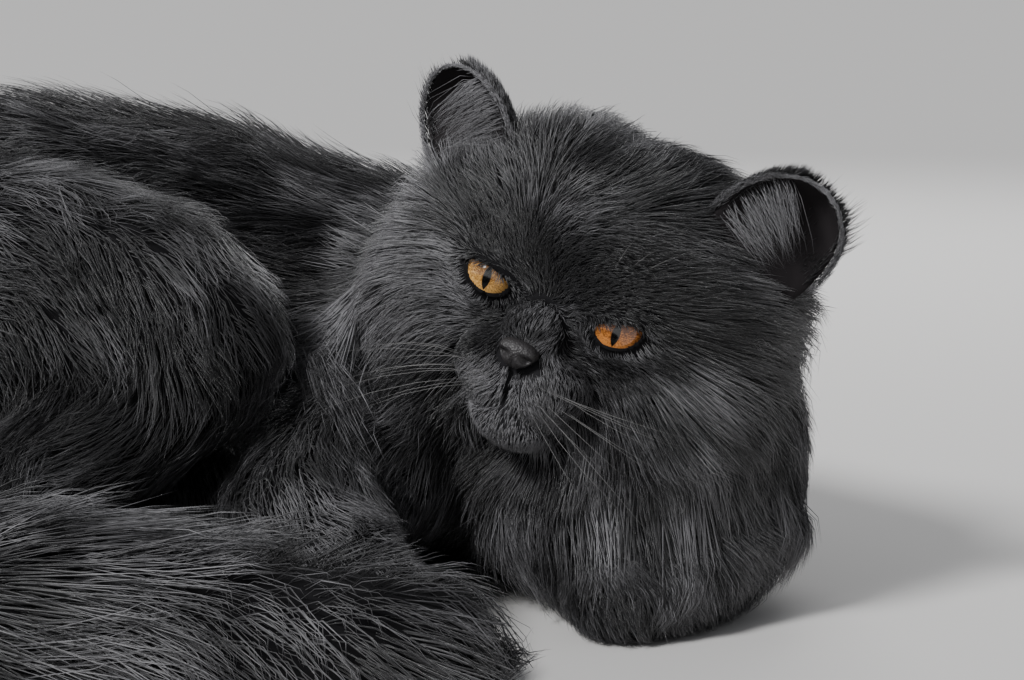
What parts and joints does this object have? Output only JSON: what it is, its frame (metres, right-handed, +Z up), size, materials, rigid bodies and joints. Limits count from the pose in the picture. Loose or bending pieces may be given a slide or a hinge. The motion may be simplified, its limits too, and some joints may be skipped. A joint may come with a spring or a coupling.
{
  "type": "persian cat",
  "caption": "Life-size still Persian cat in a long dark coat, lying curled on its hip with its tail laid round in front and its flat face turned to look out.",
  "frame": {"origin": "on the floor under the middle of the whole cat", "axes": "+Z up, +X to the picture's right, where the head lies, +Y away from the picture's camera, towards the cat's back"},
  "size_m": [0.3932, 0.3818, 0.1664],
  "materials": {
    "coat": "long soft charcoal-black fur with a faint sheen",
    "eye": "clear cornea over a copper iris with a slit pupil",
    "nose": "fine-grained black nose leather, slightly moist"
  },
  "bodies": {
    "root": {"head": "coat", "ear_left": "coat", "ear_right": "coat", "eye_left": "eye", "eye_right": "eye", "nose": "nose", "neck": "coat", "chest": "coat", "belly": "coat", "rump": "coat", "foreleg_left": "coat", "foreleg_right": "coat", "forepaw_left": "coat", "forepaw_right": "coat", "thigh_left": "coat", "thigh_right": "coat", "hind_foot_left": "coat", "hind_foot_right": "coat", "tail_base": "coat", "tail_middle": "coat", "tail_tip": "coat"}
  },
  "joints": []
}
